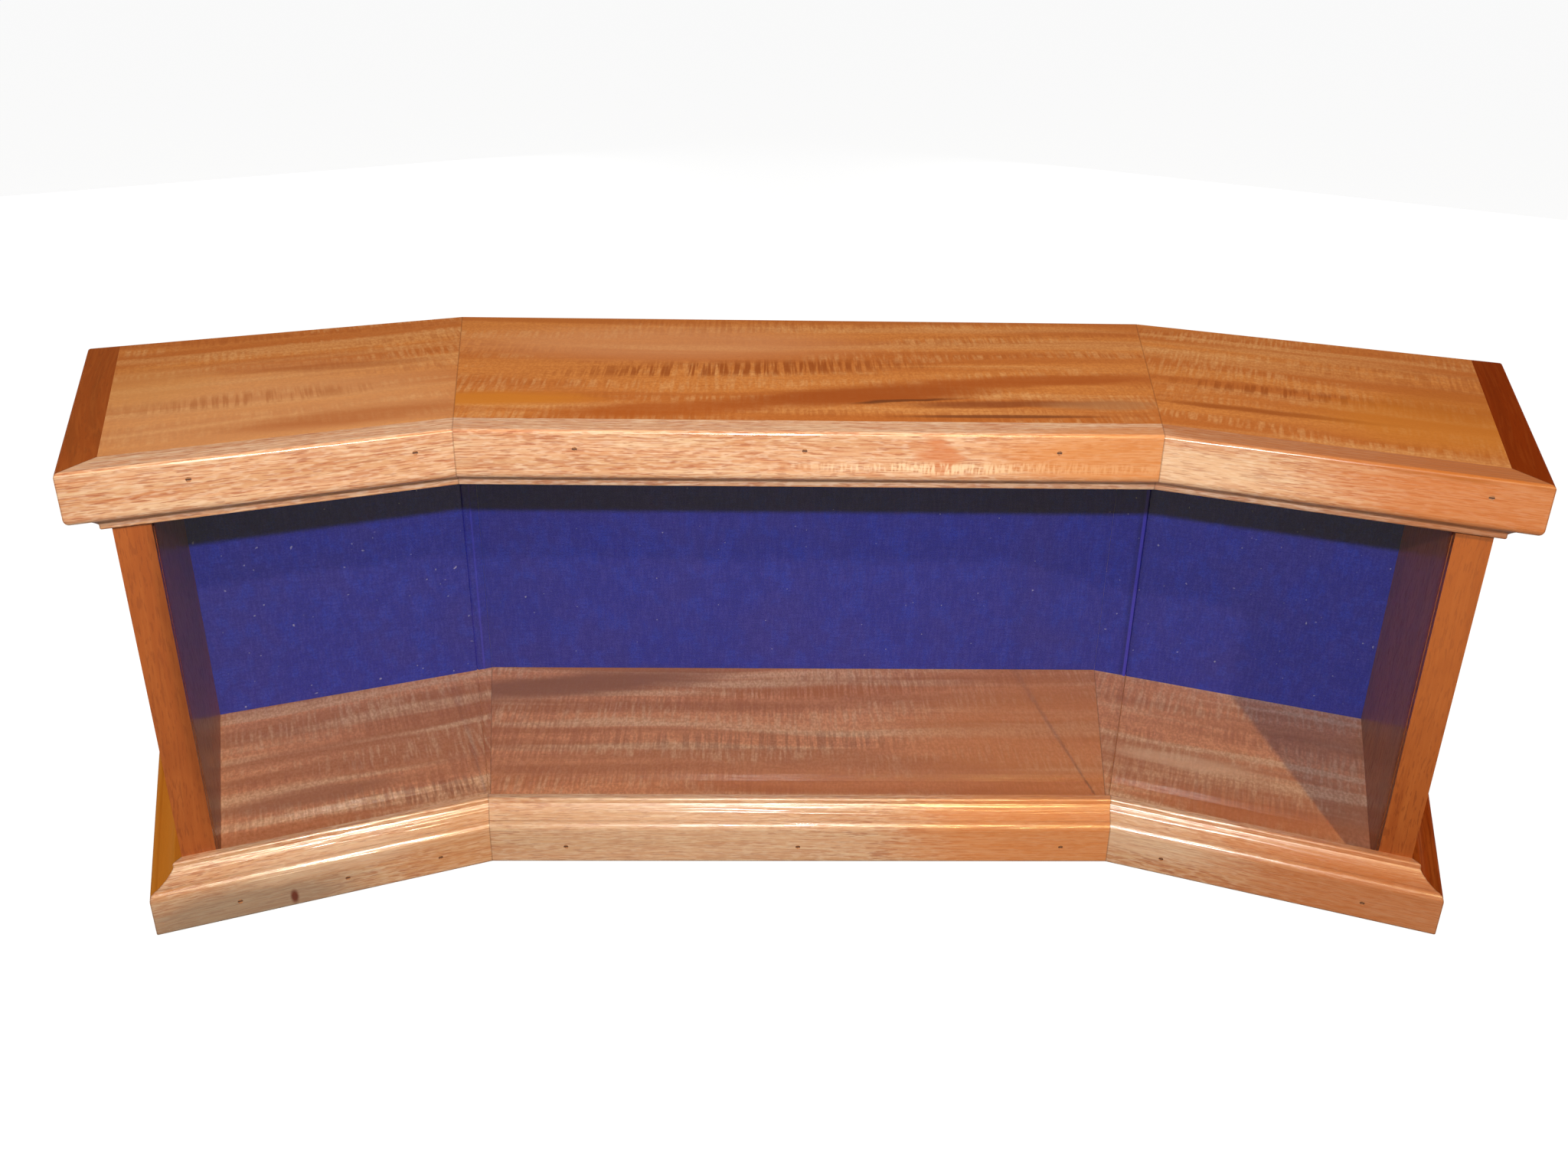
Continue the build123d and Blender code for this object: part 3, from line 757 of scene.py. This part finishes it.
def makeFloor():
    bpy.ops.object.select_all(action="DESELECT")
    bpy.ops.mesh.primitive_plane_add(size=studio["width"] * mm, location=(0, 0, -studio["drop"] * mm))
    floor = bpy.context.object
    floor.name = "stage_floor"
    material, tree, shader = newMaterial("stagePaper", {"Roughness": 0.9, "Specular IOR Level": 0.1})
    rays = addNode(tree, "LightPath")
    place = addNode(tree, "TexCoord")
    axes = addNode(tree, "SeparateXYZ", None, {0: place.outputs["Object"]})
    behind = addNode(
        tree, "MapRange",
        {"From Min": studio["frontEnds"] * mm, "From Max": studio["backStarts"] * mm,
         "To Min": studio["mirrored"]["front"], "To Max": studio["mirrored"]["back"]},
        {0: axes.outputs["Y"]},
    )
    glossy = straightRays(tree, rays, "Is Glossy Ray", ["Diffuse Depth"])
    mirrored = addNode(tree, "Math", {"operation": "MULTIPLY"}, {0: glossy, 1: behind.outputs[0]})
    share = addNode(
        tree, "Math", {"operation": "MULTIPLY_ADD", 1: studio["seen"]},
        {0: seenRays(tree, rays), 2: mirrored.outputs[0]},
    )
    paper = addNode(
        tree, "Mix",
        {"data_type": "RGBA", 6: toLinear(studio["litPaper"]), 7: toLinear(studio["paper"])},
        {0: rays.outputs["Is Camera Ray"]},
    )
    tree.links.new(paper.outputs[2], shader.inputs["Base Color"])
    glow = addNode(tree, "Emission", {"Strength": studio["glow"]})
    mix = addNode(tree, "MixShader", None, {0: share.outputs[0], 1: shader.outputs[0], 2: glow.outputs[0]})
    tree.links.new(mix.outputs[0], tree.nodes["Material Output"].inputs["Surface"])
    floor.data.materials.append(material)


def makeRoom():
    world = bpy.data.worlds.new("studio")
    bpy.context.scene.world = world
    world.use_nodes = True
    tree = world.node_tree
    rays = addNode(tree, "LightPath")
    glossy = straightRays(tree, rays, "Is Glossy Ray", ["Diffuse Depth"])
    dim = {"operation": "MULTIPLY_ADD", 1: studio["mirroredRoom"], 2: studio["room"]}
    mirrored = addNode(tree, "Math", dim, {0: glossy}).outputs[0]
    strength = addNode(tree, "Math", {"operation": "MAXIMUM"}, {0: seenRays(tree, rays), 1: mirrored})
    background = tree.nodes["Background"]
    tree.links.new(strength.outputs[0], background.inputs["Strength"])
    background.inputs["Color"].default_value = (1, 1, 1, 1)


# Places and sizes in metres, power in watts. The flash sits just over the camera and the room
# lamp is warm; the others are soft and only reach the top, the ends and the back.
lamps = {
    "flash": {
        "at": (-0.023, -0.785, 0.609), "to": (0, 0, 0.13),
        "size": (0.022, 0.012), "power": 5.4, "colour": "#FFFFFF",
    },
    "roomLamp": {
        "at": (0.527, -2.08, 1.70), "to": (0, 0, 0.15),
        "size": (0.06, 0.06), "power": 28, "colour": "#FFDF8B",
    },
    "overhead": {
        "at": (0, 0.45, 1.6), "to": (0, 0.0, 0.28),
        "size": (1.6, 0.9), "power": 13.5, "colour": "#FFF6EA",
    },
    "leftFill": {
        "at": (-2.0, 0.4, 0.14), "to": (-0.3, 0, 0.14),
        "size": (0.8, 0.24), "power": 20, "colour": "#FFFFFF",
    },
    "rightFill": {
        "at": (2.0, 0.4, 0.14), "to": (0.3, 0, 0.14),
        "size": (0.8, 0.24), "power": 20, "colour": "#FFFFFF",
    },
    "backLeft": {
        "at": (-1.2, 2.0, 0.14), "to": (0, 0, 0.14),
        "size": (1.2, 0.24), "power": 21, "colour": "#FFFFFF",
    },
    "backRight": {
        "at": (1.2, 2.0, 0.14), "to": (0, 0, 0.14),
        "size": (1.2, 0.24), "power": 21, "colour": "#FFFFFF",
    },
}


def makeLamps():
    for name, lamp in lamps.items():
        bpy.ops.object.light_add(type="AREA", location=lamp["at"])
        item = bpy.context.object
        item.name = name
        item.data.shape = "RECTANGLE"
        item.data.size, item.data.size_y = lamp["size"]
        item.data.energy = lamp["power"]
        item.data.color = toLinear(lamp["colour"])[:3]
        item.visible_glossy = lamp["at"][1] < 0  # only the lamps in front leave highlights
        direction = Vector(lamp["at"]) - Vector(lamp["to"])
        item.rotation_euler = direction.to_track_quat("Z", "Y").to_euler()


# A compact camera held above the front edge, looking down into the case. Its place and clip are
# in metres.
camera = {
    "at": (-0.02608, -0.7710, 0.53197),
    "turn": (65.6546, -0.9612, -1.1077),
    "lens": 30.8527,
    "sensor": 36.0,
    "shift": (-0.006064, -0.048255),
    "clip": 0.01,
}


def makeCamera():
    turn = [math.radians(angle) for angle in camera["turn"]]
    bpy.ops.object.camera_add(location=camera["at"], rotation=turn)
    item = bpy.context.object
    item.data.sensor_width = camera["sensor"]
    item.data.lens = camera["lens"]
    item.data.shift_x, item.data.shift_y = camera["shift"]
    item.data.clip_start = camera["clip"]
    bpy.context.scene.camera = item


makeFloor()
makeRoom()
makeLamps()
makeCamera()
bpy.context.scene.view_settings.view_transform = "Standard"
print("stage, lamps and camera done")
